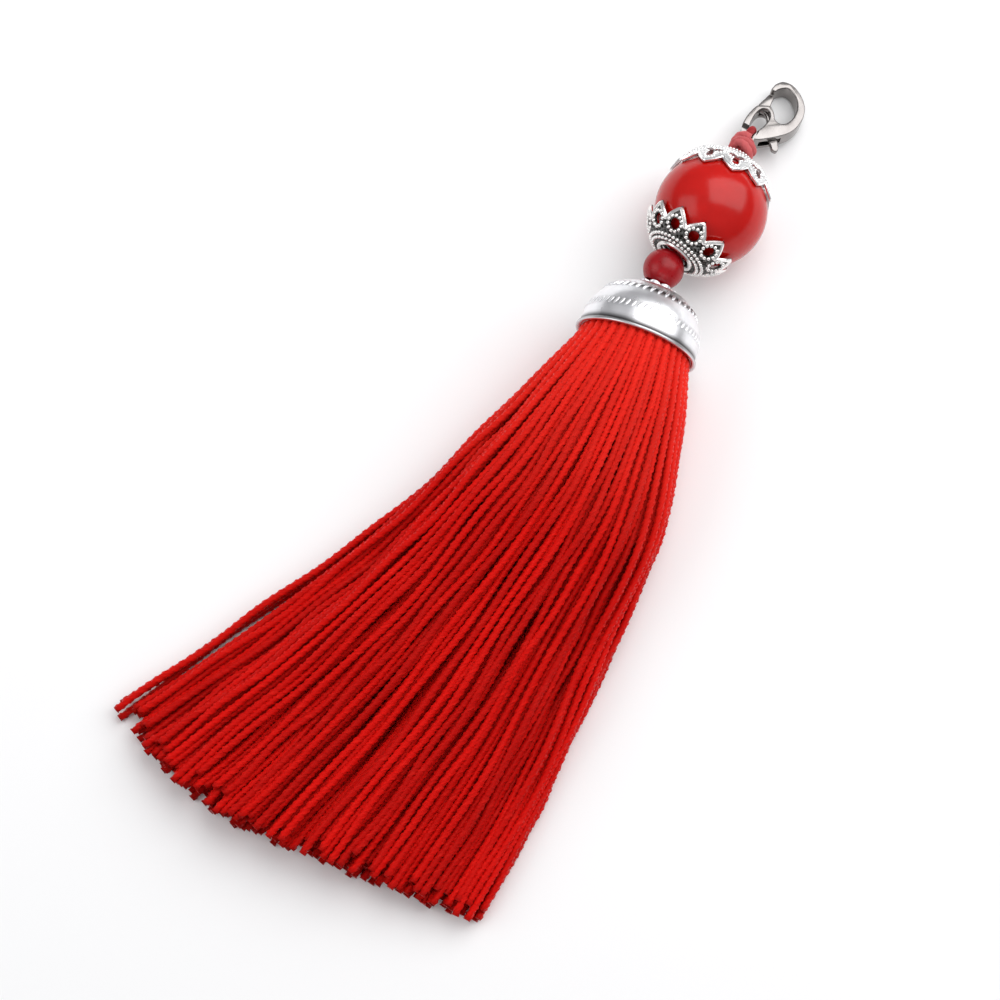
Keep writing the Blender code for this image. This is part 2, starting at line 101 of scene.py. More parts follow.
# Bell
RIM_RADIUS = 8.85
RIM_CENTRE = Vector((1.5, -23.3, RIM_RADIUS * cos(pi / 40)))
CAP_TURN = radians(11.7)
CAP_AXIS = Vector((-sin(CAP_TURN), cos(CAP_TURN), 0.0))
BELL_WALL = 0.5
BELL_BORE = 1.62
BELL_STEPS = 160
BELL = [
    (8.62, 0.0), (8.8, 0.04), (8.86, 0.2), (8.84, 0.38), (8.7, 0.52), (8.56, 0.6), (8.52, 0.75),
    (8.52, 1.6), (8.48, 2.7), (8.32, 3.5), (8.08, 4.25), (7.74, 5.0), (7.35, 5.65), (6.9, 6.35),
    (6.4, 6.95), (5.85, 7.5), (5.25, 7.95), (4.55, 8.28), (3.8, 8.52), (3.1, 8.68), (2.4, 8.77),
    (BELL_BORE, 8.82),
]
RIM_STEP = (8.58, 0.62)       # the shadowed step between the bell's flange and its wall
# how far the painted shade spreads from each of the bell's hollows
RECESS_REACH = 0.6
SEAT = [                      # radius, height, and how much of each scallop shows there
    (BELL_BORE, 8.6, 0.0), (2.4, 8.72, 0.0), (2.62, 8.9, 0.1), (2.75, 9.1, 0.6), (2.86, 9.3, 1.0),
    (2.76, 9.36, 1.0), (2.58, 9.2, 0.6), (2.3, 9.2, 0.1), (BELL_BORE, 9.46, 0.0),
]
SCALLOPS = 9
SEAT_STEPS = 126
Band = namedtuple("Band", "name radius height count long wide tall slant tip")
BANDS = [
    Band("bell_upper_rope", 6.66, 6.58, 40, 1.5, 0.52, 0.5, 70.0, 42.0),
    Band("bell_lower_rope", 8.36, 3.25, 60, 1.25, 0.45, 0.2, 70.0, 15.0),
]

# Skirt: each cord lies in a bundle that falls into a fan
CORD = 1.2                    # soft cords press into each other, so they overlap a little
CORD_ROOM = 0.9
CORD_ROWS = 19
CORD_PITCH = 3.9
CORD_STEP = 0.54
CORD_CORNERS = 6
CORD_GROOVE = 0.18            # how deep the plies are laid, as a share of the cord's radius
TWIST_SCATTER = 11.0          # spreads the cords' random tints into different starts of twist
FIBRES = (12.0, 260.0, 1.0)   # filaments round a cord, and flecks along each metre of it
CORD_TAPER = 0.8              # a cut end narrows over this length
CORD_END = 0.35               # to this share of the cord
HEAD_SHARE = 0.95             # how thick a cord is where the bell squeezes it
HEAD_FREE = 28                # by how far from its head it has its full thickness
TUCK = 0.94                   # every second outer cord is tucked in this much
PUSHES = 500
PUSH = 0.3
SHAKE = 0.04
EDGE_DROP = 0.94
HEAD_DISCS = [(2.4, 7.5), (0.1, 7.9), (-0.5, 8.25)]
LENGTH_SPREAD = 1.5
WANDER = 0.24                 # how far a cord sways from its line
SWAYS = (14, 40)              # the shortest and the longest sway
SWAY_START = 6
SWAY_RISE = 20
PATH_STEPS = 9
SKIRT_PIECES = 5
Section = namedtuple("Section", "left_x left_y right_x right_y bow side top bottom slit")
SECTIONS = [
    Section(-6.39, -26.36, 9.96, -22.98, 0.0, 8.85, 16.9, 0.8, 0.0),
    Section(-8.1, -34.7, 13.6, -31.2, 0.2, 6.80, 15.7, CORD / 2, 0.0),
    Section(-11.7, -49.2, 18.5, -45.3, 0.9, 4.20, 13.6, CORD / 2, 0.1),
    Section(-17.1, -66.4, 20.9, -63.2, 1.9, 2.20, 11.0, CORD / 2, 0.9),
    Section(-24.8, -84.5, 23.4, -82.6, 3.2, 1.00, 8.6, CORD / 2, 1.5),
    Section(-32.5, -102.8, 24.4, -101.4, 4.2, CORD / 2, 6.8, CORD / 2, 1.2),
]
LOOSE_CORDS = 3
BOW_SKEW = 0.8                # the cut line bulges more on the left than on the right

# Knotting cord
KNOT_CORD = 1.2
KNOT_PITCH = 3.0
KNOT_STEP = 0.25
KNOT_CORNERS = 12
KNOT_GROOVE = 0.14
CLASP_THICK = 2.6
CLASP_PITCH = radians(-12)
CLASP_PLACE = Vector((0.0, 24.85, -0.13))
EYE_BAR = (-1.75, -11.5)
NECK_SHIFT = Vector((-0.35, 0.0, 0.0))
SMALL_SHIFT = Vector((0.1, 0.0, 0.0))
EYE_TURNS = [(1.45, -0.7), (1.35, 0.6), (0.0, 1.42), (-1.35, 0.6), (-1.5, -0.7)]
KNOT_LOW = 2.6
KNOT_HIGH = 4.4
Wrap = namedtuple("Wrap", "start end radius turns phase")
WRAPS = [
    Wrap(2.3, 4.9, 1.35, 1.6, 0.4),
    Wrap(5.2, 3.0, 1.5, 1.5, 2.9),
    Wrap(3.1, 4.6, 0.75, 1.0, 1.2),
]

# Lobster clasp, drawn in its own frame
SLOT = (0.72, 1.88)
LEVER = (0.9, 1.7)
EYE_SLAB = (0.7, 1.9)
EYE_CUT = ((-5, -13), (-0.75, -10.3))
PIVOT = (0.6, -8.9)
PIN_RADIUS = 0.4
PIN_GAP = 0.3
CASTING_EDGE = (0.58, 5)      # the rounding of an edge, and its segments
LEVER_EDGE = (0.2, 3)
CASTING = [
    (-2.75, -1.83), (-2.05, -0.8), (-0.7, -0.5), (0.75, -1.0), (2.05, -1.95), (2.95, -3.15),
    (3.45, -4.75), (3.4, -6.7), (2.85, -8.2), (1.9, -9.5), (0.7, -10.8), (-0.4, -11.75),
    (-1.6, -12.1), (-2.75, -11.6), (-3.4, -10.5), (-3.55, -9.0), (-3.4, -7.4), (-3.1, -6.5),
    (-2.3, -5.95), (-1.5, -5.6), (-0.6, -6.2), (0.25, -7.2), (1.15, -7.3), (1.9, -6.6),
    (2.2, -5.3), (1.95, -3.75), (1.25, -2.55), (0.15, -1.65), (-0.9, -1.45), (-1.55, -1.9),
    (-2.0, -2.5),
]
CLAW_TIP = [(-2.12, -3.0), (-2.85, -3.0)]
EYE_HOLE = [
    (-2.35, -6.75), (-1.5, -6.35), (-0.75, -7.1), (-0.6, -8.4), (-0.85, -9.8), (-1.3, -10.8),
    (-2.0, -10.95), (-2.4, -10.2), (-2.6, -9.2), (-2.65, -7.9),
]
LEVER_SHAPE = [
    (-3.0, -4.5), (-3.2, -5.9), (-2.75, -6.6), (-1.75, -6.55), (-0.85, -7.5), (-0.5, -8.7),
    (-0.3, -9.6), (0.5, -10.1), (1.5, -10.75), (2.1, -11.35), (2.75, -11.3), (2.85, -10.7),
    (2.35, -9.9), (1.75, -9.1), (1.45, -8.2), (0.75, -7.75), (0.0, -7.0), (-0.65, -6.1),
    (-1.4, -5.5), (-1.75, -4.4),
]
LEVER_TIP = [(-1.9, -3.3), (-2.8, -3.3)]
SLOT_SHAPE = [
    (-4.2, -4.9), (-4.2, -6.95), (-2.1, -6.95), (-0.95, -8.4), (-0.75, -9.75), (-0.25, -10.35),
    (0.25, -13.0), (5.0, -13.0), (4.0, -11.3), (2.6, -9.55), (2.05, -8.6), (1.65, -7.6),
    (1.5, -4.9),
]


# ---------------------------------------------------------------- nodes and materials

def linear(code):
    """An sRGB hex colour as linear values with alpha."""
    values = [int(code[i:i + 2], 16) / 255 for i in (1, 3, 5)]
    values = [v / 12.92 if v <= 0.04045 else ((v + 0.055) / 1.055) ** 2.4 for v in values]
    return (*values, 1.0)


def add_node(tree, kind, settings=None, inputs=None):
    """Add a node, set it up, and link or fill its inputs."""
    node = tree.nodes.new(kind)
    for name, value in (settings or {}).items():
        setattr(node, name, value)
    for key, value in (inputs or {}).items():
        socket = node.inputs[key]
        if isinstance(value, bpy.types.NodeSocket):
            tree.links.new(value, socket)
        else:
            socket.default_value = value
    return node


def new_material(name, **constants):
    """A material with a Principled shader whose plain values are set on its own sockets."""
    material = bpy.data.materials.new(name)
    material.use_nodes = True
    shader = material.node_tree.nodes["Principled BSDF"]
    for key, value in constants.items():
        shader.inputs[key.replace("_", " ")].default_value = value
    return material, material.node_tree, shader


def blend_colours(tree, factor, first, second):
    """Mix two colours, either of which may be a hex code or a socket."""
    pair = [linear(item) if isinstance(item, str) else item for item in (first, second)]
    node = add_node(tree, "ShaderNodeMix", {"data_type": "RGBA"},
                    {"Factor": factor, 6: pair[0], 7: pair[1]})
    return node.outputs[2]


def attribute(tree, name):
    """A named value stored on the mesh."""
    return add_node(tree, "ShaderNodeAttribute", {"attribute_name": name}).outputs["Fac"]


def object_noise(tree, size, detail=2.0, place=None):
    """Noise whose grains are about the given size in millimetres."""
    place = place or add_node(tree, "ShaderNodeTexCoord").outputs["Object"]
    node = add_node(tree, "ShaderNodeTexNoise", None,
                    {"Vector": place, "Scale": 1 / (size * MM), "Detail": detail})
    return node.outputs["Fac"]


def remap(tree, value, low, high, start=0.0, end=1.0):
    """Stretch a value from one range to another, held at its ends."""
    node = add_node(tree, "ShaderNodeMapRange", None,
                    {"Value": value, "From Min": low, "From Max": high,
                     "To Min": start, "To Max": end})
    return node.outputs["Result"]


def set_bump(tree, shader, height, depth, strength=1.0):
    """Raise the surface by a height map, depth in millimetres."""
    bump = add_node(tree, "ShaderNodeBump", None,
                    {"Height": height, "Distance": depth * MM, "Strength": strength})
    tree.links.new(bump.outputs["Normal"], shader.inputs["Normal"])


def silk_floss(name, bright, mid, dark, painted_highlight):
    """Twisted floss of fine filaments, with painted shade in its grooves, painted glints along some
    filaments and a painted highlight near its head.
    """
    material, tree, shader = new_material(
        name, Roughness=0.42, Sheen_Weight=0.1, Sheen_Roughness=0.4, Sheen_Tint=linear("#FF4A3A"),
        Specular_IOR_Level=0.4, Specular_Tint=linear("#FF7468"), Diffuse_Roughness=0.8)
    tone = blend_colours(tree, attribute(tree, "tint"), mid, bright)
    fibre_place = add_node(tree, "ShaderNodeCombineXYZ", None,
                           {"X": attribute(tree, "around"), "Y": attribute(tree, "along")})
    stretched = add_node(tree, "ShaderNodeMapping", None,
                         {"Vector": fibre_place.outputs[0], "Scale": FIBRES})
    fibre = add_node(tree, "ShaderNodeTexNoise", None,
                     {"Vector": stretched.outputs[0], "Scale": 1.0, "Detail": 3.0}).outputs["Fac"]
    tone = blend_colours(tree, remap(tree, fibre, 0.5, 0.3, 0.0, 0.34), tone, dark)
    # painted glints along some filaments
    tone = blend_colours(tree, remap(tree, fibre, 0.56, 0.72, 0.0, 0.3), tone, painted_highlight)
    # painted shade in the grooves between the plies
    tone = blend_colours(tree, remap(tree, attribute(tree, "groove"), 0.25, 1.0, 0.0, 0.16),
                         tone, dark)
    tone = blend_colours(tree, remap(tree, attribute(tree, "ending"), 0.9, 0.0, 0.0, 0.8),
                         tone, dark)
    # painted highlight near the head of each cord, over its first 34 mm
    tone = blend_colours(tree, remap(tree, attribute(tree, "along"), 0.034, 0.004, 0.0, 0.65),
                         tone, painted_highlight)
    tree.links.new(tone, shader.inputs["Base Color"])
    set_bump(tree, shader, fibre, 0.03, 0.5)
    return material


def bright_plate(name, light, shade, roughness, recess_shade=None):
    """Electroplated zinc: a bright skin, slightly uneven from its casting, with painted shade in
    its recesses when a colour for it is given.
    """
    material, tree, shader = new_material(name, Metallic=1.0)
    waves = object_noise(tree, 2.2)
    tone = blend_colours(tree, remap(tree, waves, 0.3, 0.7, 0.0, 0.5), light, shade)
    # painted shade: darkened towards the given colour where the mesh marks a recess
    if recess_shade:
        tone = blend_colours(tree, attribute(tree, "recess_shade"), tone, recess_shade)
    tree.links.new(tone, shader.inputs["Base Color"])
    tree.links.new(remap(tree, object_noise(tree, 1.8), 0.3, 0.7, roughness * 0.9,
                         roughness * 1.15), shader.inputs["Roughness"])
    set_bump(tree, shader, waves, 0.05, 0.4)
    return material


def antique_plate(name, light, dark):
    """Silver plate that is polished on its relief and left black in its recesses."""
    material, tree, shader = new_material(name, Metallic=1.0)
    relief = attribute(tree, "relief")
    grains = object_noise(tree, 0.35)
    worn = add_node(tree, "ShaderNodeMath", {"operation": "MULTIPLY_ADD"},
                    {0: grains, 1: 0.5, 2: relief}).outputs[0]
    tree.links.new(blend_colours(tree, remap(tree, worn, 0.2, 0.8), dark, light),
                   shader.inputs["Base Color"])
    tree.links.new(remap(tree, relief, 0.0, 1.0, 0.45, 0.24), shader.inputs["Roughness"])
    set_bump(tree, shader, grains, 0.04, 0.5)
    return material


def cast_resin(name, light, shade, mottle, roughness, **constants):
    """A tumbled resin bead: even colour below a polished skin."""
    material, tree, shader = new_material(name, IOR=1.5, **constants)
    patches = object_noise(tree, mottle, 4.0)
    tree.links.new(blend_colours(tree, remap(tree, patches, 0.35, 0.65), light, shade),
                   shader.inputs["Base Color"])
    tree.links.new(remap(tree, object_noise(tree, 0.6), 0.3, 0.7, roughness * 0.85,
                         roughness * 1.2), shader.inputs["Roughness"])
    set_bump(tree, shader, patches, 0.01, 0.3)
    return material


def matt_paper(name, colour):
    """A plain pale paper floor."""
    material, tree, shader = new_material(name, Roughness=0.9)
    grain = object_noise(tree, 0.4)
    tree.links.new(blend_colours(tree, remap(tree, grain, 0.0, 1.0, 0.0, 0.04), colour, "#D8D8D8"),
                   shader.inputs["Base Color"])
    return material


# ---------------------------------------------------------------- shapes

def aim(axis):
    """Rotation that turns +Z to the given direction, keeping +X level."""
    side = Vector((axis.y, -axis.x, 0.0)).normalized()
    return Matrix((side, axis.cross(side), axis)).transposed().to_4x4()


def smooth_path(points, steps, closed=False):
    """Points of a Catmull-Rom curve through the given points."""
    knots = [Vector(point) for point in points]
    count = len(knots)
    path = []
    for i in range(count if closed else count - 1):
        if closed:
            before, start, end, after = (knots[(i + k) % count] for k in (-1, 0, 1, 2))
        else:
            before, start = knots[max(i - 1, 0)], knots[i]
            end, after = knots[i + 1], knots[min(i + 2, count - 1)]
        for step in range(steps):
            t = step / steps
            path.append(0.5 * (2 * start + (end - before) * t
                               + (2 * before - 5 * start + 4 * end - after) * t ** 2
                               + (3 * start - before - 3 * end + after) * t ** 3))
    if not closed:
        path.append(knots[-1])
    return path


def flat_path(points, steps, closed=True):
    """A smooth outline as (x, y) pairs."""
    path = smooth_path([(x, y, 0) for x, y in points], steps, closed)
    return [(point.x, point.y) for point in path]


def lengths_along(path):
    """The distance along a line from its start to each of its points."""
    steps = np.linalg.norm(np.diff(path, axis=0), axis=1)
    return np.concatenate([[0], np.cumsum(steps)])


def linked(name, data):
    """A new object in the scene."""
    item = bpy.data.objects.new(name, data)
    bpy.context.scene.collection.objects.link(item)
    return item


def add_piece(name, mesh, material, body, node, crease=None):
    """Link a finished mesh as a piece of the tassel that stands for a solid."""
    mesh.materials.clear()
    mesh.materials.append(material)
    mesh.shade_smooth()
    if crease:
        mesh.set_sharp_from_angle(angle=radians(crease))
    piece = linked(name, mesh)
    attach(piece, body)
    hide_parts(node)


def to_mesh(name, shape, place=None):
    """Turn a bmesh in millimetres into a placed mesh in metres."""
    bmesh.ops.remove_doubles(shape, verts=shape.verts, dist=1e-4)
    if place is not None:
        bmesh.ops.transform(shape, matrix=place, verts=shape.verts)
    bmesh.ops.scale(shape, vec=(MM, MM, MM), verts=shape.verts)
    bmesh.ops.recalc_face_normals(shape, faces=shape.faces)
    mesh = bpy.data.meshes.new(name)
    shape.to_mesh(mesh)
    shape.free()
    return mesh


def add_faces(shape, row, after):
    """Join two closed rows of points by a band of faces."""
    for i in range(len(row)):
        j = (i + 1) % len(row)
        shape.faces.new((row[i], row[j], after[j], after[i]))


def joined(name, meshes, label, levels):
    """Several meshes as one, its points marked with the level of the mesh they come from."""
    shape = bmesh.new()
    marks = []
    for mesh, level in zip(meshes, levels):
        shape.from_mesh(mesh)
        marks.append(np.ones(len(mesh.vertices)) * level)
    mesh = bpy.data.meshes.new(name)
    shape.to_mesh(mesh)
    shape.free()
    layer = mesh.attributes.new(label, "FLOAT", "POINT")
    layer.data.foreach_set("value", np.concatenate(marks).astype(np.float32))
    return mesh


def spun(name, profile, steps, place):
    """Spin a closed profile of (radius, height) points round Z."""
    shape = bmesh.new()
    verts = [shape.verts.new((radius, 0.0, height)) for radius, height in profile]
    edges = [shape.edges.new((verts[i - 1], verts[i])) for i in range(len(verts))]
    bmesh.ops.spin(shape, geom=verts + edges, cent=(0, 0, 0), axis=(0, 0, 1),
                   angle=tau, steps=steps, use_merge=True)
    return to_mesh(name, shape, place)


def solved(mesh, make_modifiers):
    """Run modifiers on a mesh and return the plain result."""
    holder = linked("holder", mesh)
    make_modifiers(holder)
    graph = bpy.context.evaluated_depsgraph_get()
    result = bpy.data.meshes.new_from_object(holder.evaluated_get(graph), depsgraph=graph)
    result.name = mesh.name
    bpy.data.objects.remove(holder, do_unlink=True)
    return result


# ---------------------------------------------------------------- node trees

def new_tree(name, sizes):
    """A geometry tree with named inputs, and its input and output nodes."""
    tree = bpy.data.node_groups.new(name, "GeometryNodeTree")
    tree.interface.new_socket("Geometry", in_out="INPUT", socket_type="NodeSocketGeometry")
    for label, kind in sizes:
        tree.interface.new_socket(label, in_out="INPUT", socket_type="NodeSocket" + kind)
    tree.interface.new_socket("Geometry", in_out="OUTPUT", socket_type="NodeSocketGeometry")
    return tree, tree.nodes.new("NodeGroupInput").outputs


def end_tree(tree, geometry, material):
    """Realize what the tree made and give it its material."""
    real = add_node(tree, "GeometryNodeRealizeInstances", None, {"Geometry": geometry})
    coated = add_node(tree, "GeometryNodeSetMaterial", None,
                      {"Geometry": real.outputs[0], "Material": material})
    add_node(tree, "NodeGroupOutput", None, {0: coated.outputs[0]})
    return tree


def named(tree, name):
    """Read a named float attribute in a geometry tree."""
    return add_node(tree, "GeometryNodeInputNamedAttribute", {"data_type": "FLOAT"},
                    {"Name": name}).outputs["Attribute"]


def calculate(tree, operation, *values):
    """One step of arithmetic."""
    return add_node(tree, "ShaderNodeMath", {"operation": operation},
                    dict(enumerate(values))).outputs[0]


def cord_tree():
    """Guide lines become cords of three plies, twisted at a steady pitch."""
    tree, given = new_tree("twisted_cords", [("Step", "Float"), ("Pitch", "Float"),
                                             ("Radius", "Float"), ("Groove", "Float"),
                                             ("Head", "Float"), ("Corners", "Int"),
                                             ("Material", "Material")])
    lines = add_node(tree, "GeometryNodeMeshToCurve", None, {"Mesh": given["Geometry"]})
    even = add_node(tree, "GeometryNodeResampleCurve", {"mode": "LENGTH"},
                    {"Curve": lines.outputs[0], "Length": given["Step"]})
    turns = calculate(tree, "DIVIDE", named(tree, "along"), given["Pitch"])
    phase = calculate(tree, "MULTIPLY", named(tree, "tint"), TWIST_SCATTER)
    angle = calculate(tree, "MULTIPLY", calculate(tree, "ADD", turns, phase), tau)
    twisted = add_node(tree, "GeometryNodeSetCurveTilt", None,
                       {"Curve": even.outputs[0], "Tilt": angle})
    taper = remap(tree, named(tree, "ending"), 0.0, CORD_TAPER, CORD_END)
    swell = remap(tree, named(tree, "along"), 0.0, HEAD_FREE * MM, given["Head"])
    sized = add_node(tree, "GeometryNodeSetCurveRadius", None,
                     {"Curve": twisted.outputs[0],
                      "Radius": calculate(tree, "MULTIPLY", taper, swell)})
    circle = add_node(tree, "GeometryNodeCurvePrimitiveCircle", None,
                      {"Resolution": given["Corners"], "Radius": given["Radius"]})
    index = add_node(tree, "GeometryNodeInputIndex").outputs[0]
    share = calculate(tree, "DIVIDE", index, given["Corners"])
    lobe = calculate(tree, "COSINE", calculate(tree, "MULTIPLY", share, 3 * tau))
    groove = calculate(tree, "MULTIPLY_ADD", lobe, -0.5, 0.5)
    shrink = calculate(tree, "SUBTRACT", 1.0, calculate(tree, "MULTIPLY", groove,
                                                         given["Groove"]))
    spot = add_node(tree, "GeometryNodeInputPosition").outputs[0]
    pulled = add_node(tree, "ShaderNodeVectorMath", {"operation": "SCALE"},
                      {0: spot, "Scale": shrink}).outputs[0]
    section = add_node(tree, "GeometryNodeSetPosition", None,
                       {"Geometry": circle.outputs[0], "Position": pulled})
    marked = section.outputs[0]
    for name, value in (("groove", groove), ("around", share)):
        marked = add_node(tree, "GeometryNodeStoreNamedAttribute",
                          {"data_type": "FLOAT", "domain": "POINT"},
                          {"Geometry": marked, "Name": name, "Value": value}).outputs[0]
    body = add_node(tree, "GeometryNodeCurveToMesh", None,
                    {"Curve": sized.outputs[0], "Profile Curve": marked, "Fill Caps": True})
    return end_tree(tree, body.outputs[0], given["Material"])


def bead_tree():
    """Grains set at even distances along guide lines."""
    tree, given = new_tree("granules", [("Spacing", "Float"), ("Radius", "Float"),
                                        ("Material", "Material")])
    lines = add_node(tree, "GeometryNodeMeshToCurve", None, {"Mesh": given["Geometry"]})
    even = add_node(tree, "GeometryNodeResampleCurve", {"mode": "LENGTH"},
                    {"Curve": lines.outputs[0], "Length": given["Spacing"]})
    grain = add_node(tree, "GeometryNodeMeshIcoSphere", None,
                     {"Radius": given["Radius"], "Subdivisions": 2})
    placed = add_node(tree, "GeometryNodeInstanceOnPoints", None,
                      {"Points": even.outputs[0], "Instance": grain.outputs[0]})
    return end_tree(tree, placed.outputs[0], given["Material"])


def one_turn(tree, axis, angle):
    """A rotation round one axis."""
    angles = add_node(tree, "ShaderNodeCombineXYZ", None, {axis: angle}).outputs[0]
    return add_node(tree, "FunctionNodeEulerToRotation", None, {0: angles}).outputs[0]


def then_turn(tree, rotation, more):
    """A rotation followed by one in its own frame."""
    return add_node(tree, "FunctionNodeRotateRotation", {"rotation_space": "LOCAL"},
                    {"Rotation": rotation, "Rotate By": more}).outputs[0]


def rope_tree():
    """Slanted grains round a circle, all leaning the same way: a pressed rope border."""
    tree, given = new_tree("rope_border", [("Radius", "Float"), ("Count", "Int"),
                                           ("Long", "Float"), ("Wide", "Float"),
                                           ("Tall", "Float"), ("Slant", "Float"),
                                           ("Tip", "Float"), ("Material", "Material")])
    ring = add_node(tree, "GeometryNodeCurvePrimitiveCircle", None,
                    {"Resolution": given["Count"], "Radius": given["Radius"]})
    size = add_node(tree, "ShaderNodeCombineXYZ", None,
                    {"X": given["Wide"], "Y": given["Long"], "Z": given["Tall"]})
    grain = add_node(tree, "GeometryNodeMeshIcoSphere", None, {"Radius": 0.5, "Subdivisions": 3})
    index = add_node(tree, "GeometryNodeInputIndex").outputs[0]
    turn = calculate(tree, "MULTIPLY", calculate(tree, "DIVIDE", index, given["Count"]), tau)
    tipped = then_turn(tree, one_turn(tree, "Z", turn), one_turn(tree, "Y", given["Tip"]))
    leaned = then_turn(tree, tipped, one_turn(tree, "Z", given["Slant"]))
    placed = add_node(tree, "GeometryNodeInstanceOnPoints", None,
                      {"Points": ring.outputs[0], "Instance": grain.outputs[0],
                       "Rotation": leaned, "Scale": size.outputs[0]})
    return end_tree(tree, placed.outputs[0], given["Material"])


def guide_mesh(name, paths, values=None):
    """Open or closed lines, in millimetres, with a named value for each point."""
    mesh = bpy.data.meshes.new(name)
    points, edges = [], []
    for path, closed in paths:
        first = len(points)
        points += [tuple(Vector(spot) * MM) for spot in path]
        edges += [(i, i + 1) for i in range(first, len(points) - 1)]
        if closed:
            edges.append((len(points) - 1, first))
    mesh.from_pydata(points, edges, [])
    for label, numbers in (values or {}).items():
        layer = mesh.attributes.new(label, "FLOAT", "POINT")
        layer.data.foreach_set("value", np.asarray(numbers, dtype=np.float32))
    return mesh


def grown(mesh, tree, **sizes):
    """Run a node tree on a mesh, with its inputs set, and return the plain result."""
    def add(holder):
        """The tree as a modifier, its inputs found by their names."""
        modifier = holder.modifiers.new(tree.name, "NODES")
        modifier.node_group = tree
        for item in tree.interface.items_tree:
            if item.in_out == "INPUT" and item.name in sizes:
                modifier[item.identifier] = sizes[item.name]
    return solved(mesh, add)


# ---------------------------------------------------------------- skirt

def disc_point(across, up):
    """Map a square from -1 to 1 onto a disc of radius 1, keeping areas equal."""
    if across == 0 and up == 0:
        return 0.0, 0.0
    if abs(across) > abs(up):
        turn = pi / 4 * up / across
        return across * cos(turn), across * sin(turn)
    turn = pi / 2 - pi / 4 * across / up
    return up * cos(turn), up * sin(turn)


def lay_cord(section, across, up):
    """Where a cord at a place in the round bundle lies in one section of the skirt."""
    left = np.array([section.left_x, section.left_y])
    right = np.array([section.right_x, section.right_y])
    level = left + (right - left) * (across + 1) / 2
    level[1] -= section.bow * (1 - across ** 2) * (1 - BOW_SKEW * across)
    reach = section.top - section.side if up > 0 else section.side - section.bottom
    return np.array([level[0], level[1], section.side + reach * up])


def find_place(section, spot):
    """The place in the round bundle of a cord that lies at a spot in one section."""
    across = 2 * (spot[0] - section.left_x) / (section.right_x - section.left_x) - 1
    rise = spot[2] - section.side
    reach = section.top - section.side if rise > 0 else section.side - section.bottom
    return across, rise / reach if reach > 0 else 0.0


def make_room(places, section):
    """Push cords apart until each has its own room between the floor and the bundle's top."""
    places = places.copy()
    centre = (section.left_x + section.right_x) / 2
    half_width = (section.right_x - section.left_x) / 2
    chance = np.random.default_rng(SEED)
    for turn in range(PUSHES):
        shake = SHAKE * (1 - turn / PUSHES)
        places[:, 0] += chance.uniform(-shake, shake, len(places))
        across = places[:, None, 0] - places[None, :, 0]
        up = places[:, None, 2] - places[None, :, 2]
        apart = np.hypot(across, up)
        np.fill_diagonal(apart, CORD_ROOM)
        push = PUSH * np.maximum(CORD_ROOM - apart, 0) / apart
        places[:, 0] += (push * across).sum(axis=1)
        places[:, 2] += (push * up).sum(axis=1)
        places[:, 0] = np.clip(places[:, 0], section.left_x, section.right_x)
        reach = np.clip(abs(places[:, 0] - centre) / half_width, 0, 1)
        roof = section.side + (section.top - section.side) * np.sqrt(1 - EDGE_DROP * reach ** 2)
        places[:, 2] = np.clip(places[:, 2], section.bottom, np.maximum(roof, section.bottom))
    return places


def cord_stations():
    """The centres of all cords in each section, with a few loose ones apart at the left."""
    steps = (np.arange(CORD_ROWS) + 0.5) * 2 / CORD_ROWS - 1
    bundle = []
    for row, up in enumerate(steps):
        for column, across in enumerate(steps):
            tucked = max(abs(across), abs(up)) > steps[-2] and (row + column) % 2
            bundle.append(np.array(disc_point(across, up)) * (TUCK if tucked else 1.0))
    turn = aim(CAP_AXIS).to_3x3()
    stations = []
    for height, radius in HEAD_DISCS:
        base = RIM_CENTRE + CAP_AXIS * height
        stations.append(np.array([base + turn @ Vector((x, -y, 0.0)) * radius
                                  for x, y in bundle]))
    for number, section in enumerate(SECTIONS):
        laid = np.array([lay_cord(section, across, up) for across, up in bundle])
        roomy = make_room(laid, section) if number else laid
        bundle = [find_place(section, spot) for spot in roomy]
        stations.append(roomy)
    loose = np.argsort(stations[-2][:, 0])[:LOOSE_CORDS]
    rest = np.ones(len(bundle), bool)
    rest[loose] = False
    for section, station in zip(SECTIONS, stations[len(HEAD_DISCS):]):
        width = section.right_x - section.left_x
        station[rest, 0] += section.slit * (section.right_x - station[rest, 0]) / width
    chance = np.random.default_rng(SEED)
    stations[-1][:, 1] += chance.uniform(-LENGTH_SPREAD, LENGTH_SPREAD, len(bundle))
    return stations


def skirt(material, tree):
    """All cords of the skirt, in a few pieces from left to right."""
    stations = cord_stations()
    chance = np.random.default_rng(SEED + 1)
    order = np.argsort(stations[len(HEAD_DISCS) + 2][:, 0])
    for part, group in enumerate(np.array_split(order, SKIRT_PIECES)):
        paths = []
        values = {"along": [], "ending": [], "tint": []}
        for number in group:
            path = np.array(smooth_path([station[number] for station in stations], PATH_STEPS))
            along = lengths_along(path)
            phases = chance.uniform(0, tau, 4)
            waves = chance.uniform(*SWAYS, 4)
            fade = np.clip((along - SWAY_START) / SWAY_RISE, 0, 1) * WANDER
            for axis, pair in ((0, (0, 1)), (2, (2, 3))):
                for k in pair:
                    path[:, axis] += fade * np.sin(along / waves[k] * tau + phases[k]) / 1.4
            path[:, 2] = np.maximum(path[:, 2], CORD / 2)
            paths.append((path, False))
            values["along"] += list(along * MM)
            values["ending"] += list(along[-1] - along)
            values["tint"] += [chance.uniform(0, 1)] * len(path)
        guides = guide_mesh("skirt_guides", paths, values)
        mesh = grown(guides, tree, Step=CORD_STEP * MM, Pitch=CORD_PITCH * MM, Head=HEAD_SHARE,
                     Radius=CORD / 2 * MM, Groove=CORD_GROOVE, Corners=CORD_CORNERS,
                     Material=material)
        add_piece("skirt_cords_%d" % (part + 1), mesh, material, "tassel", "skirt")


# ---------------------------------------------------------------- beads, bell and caps

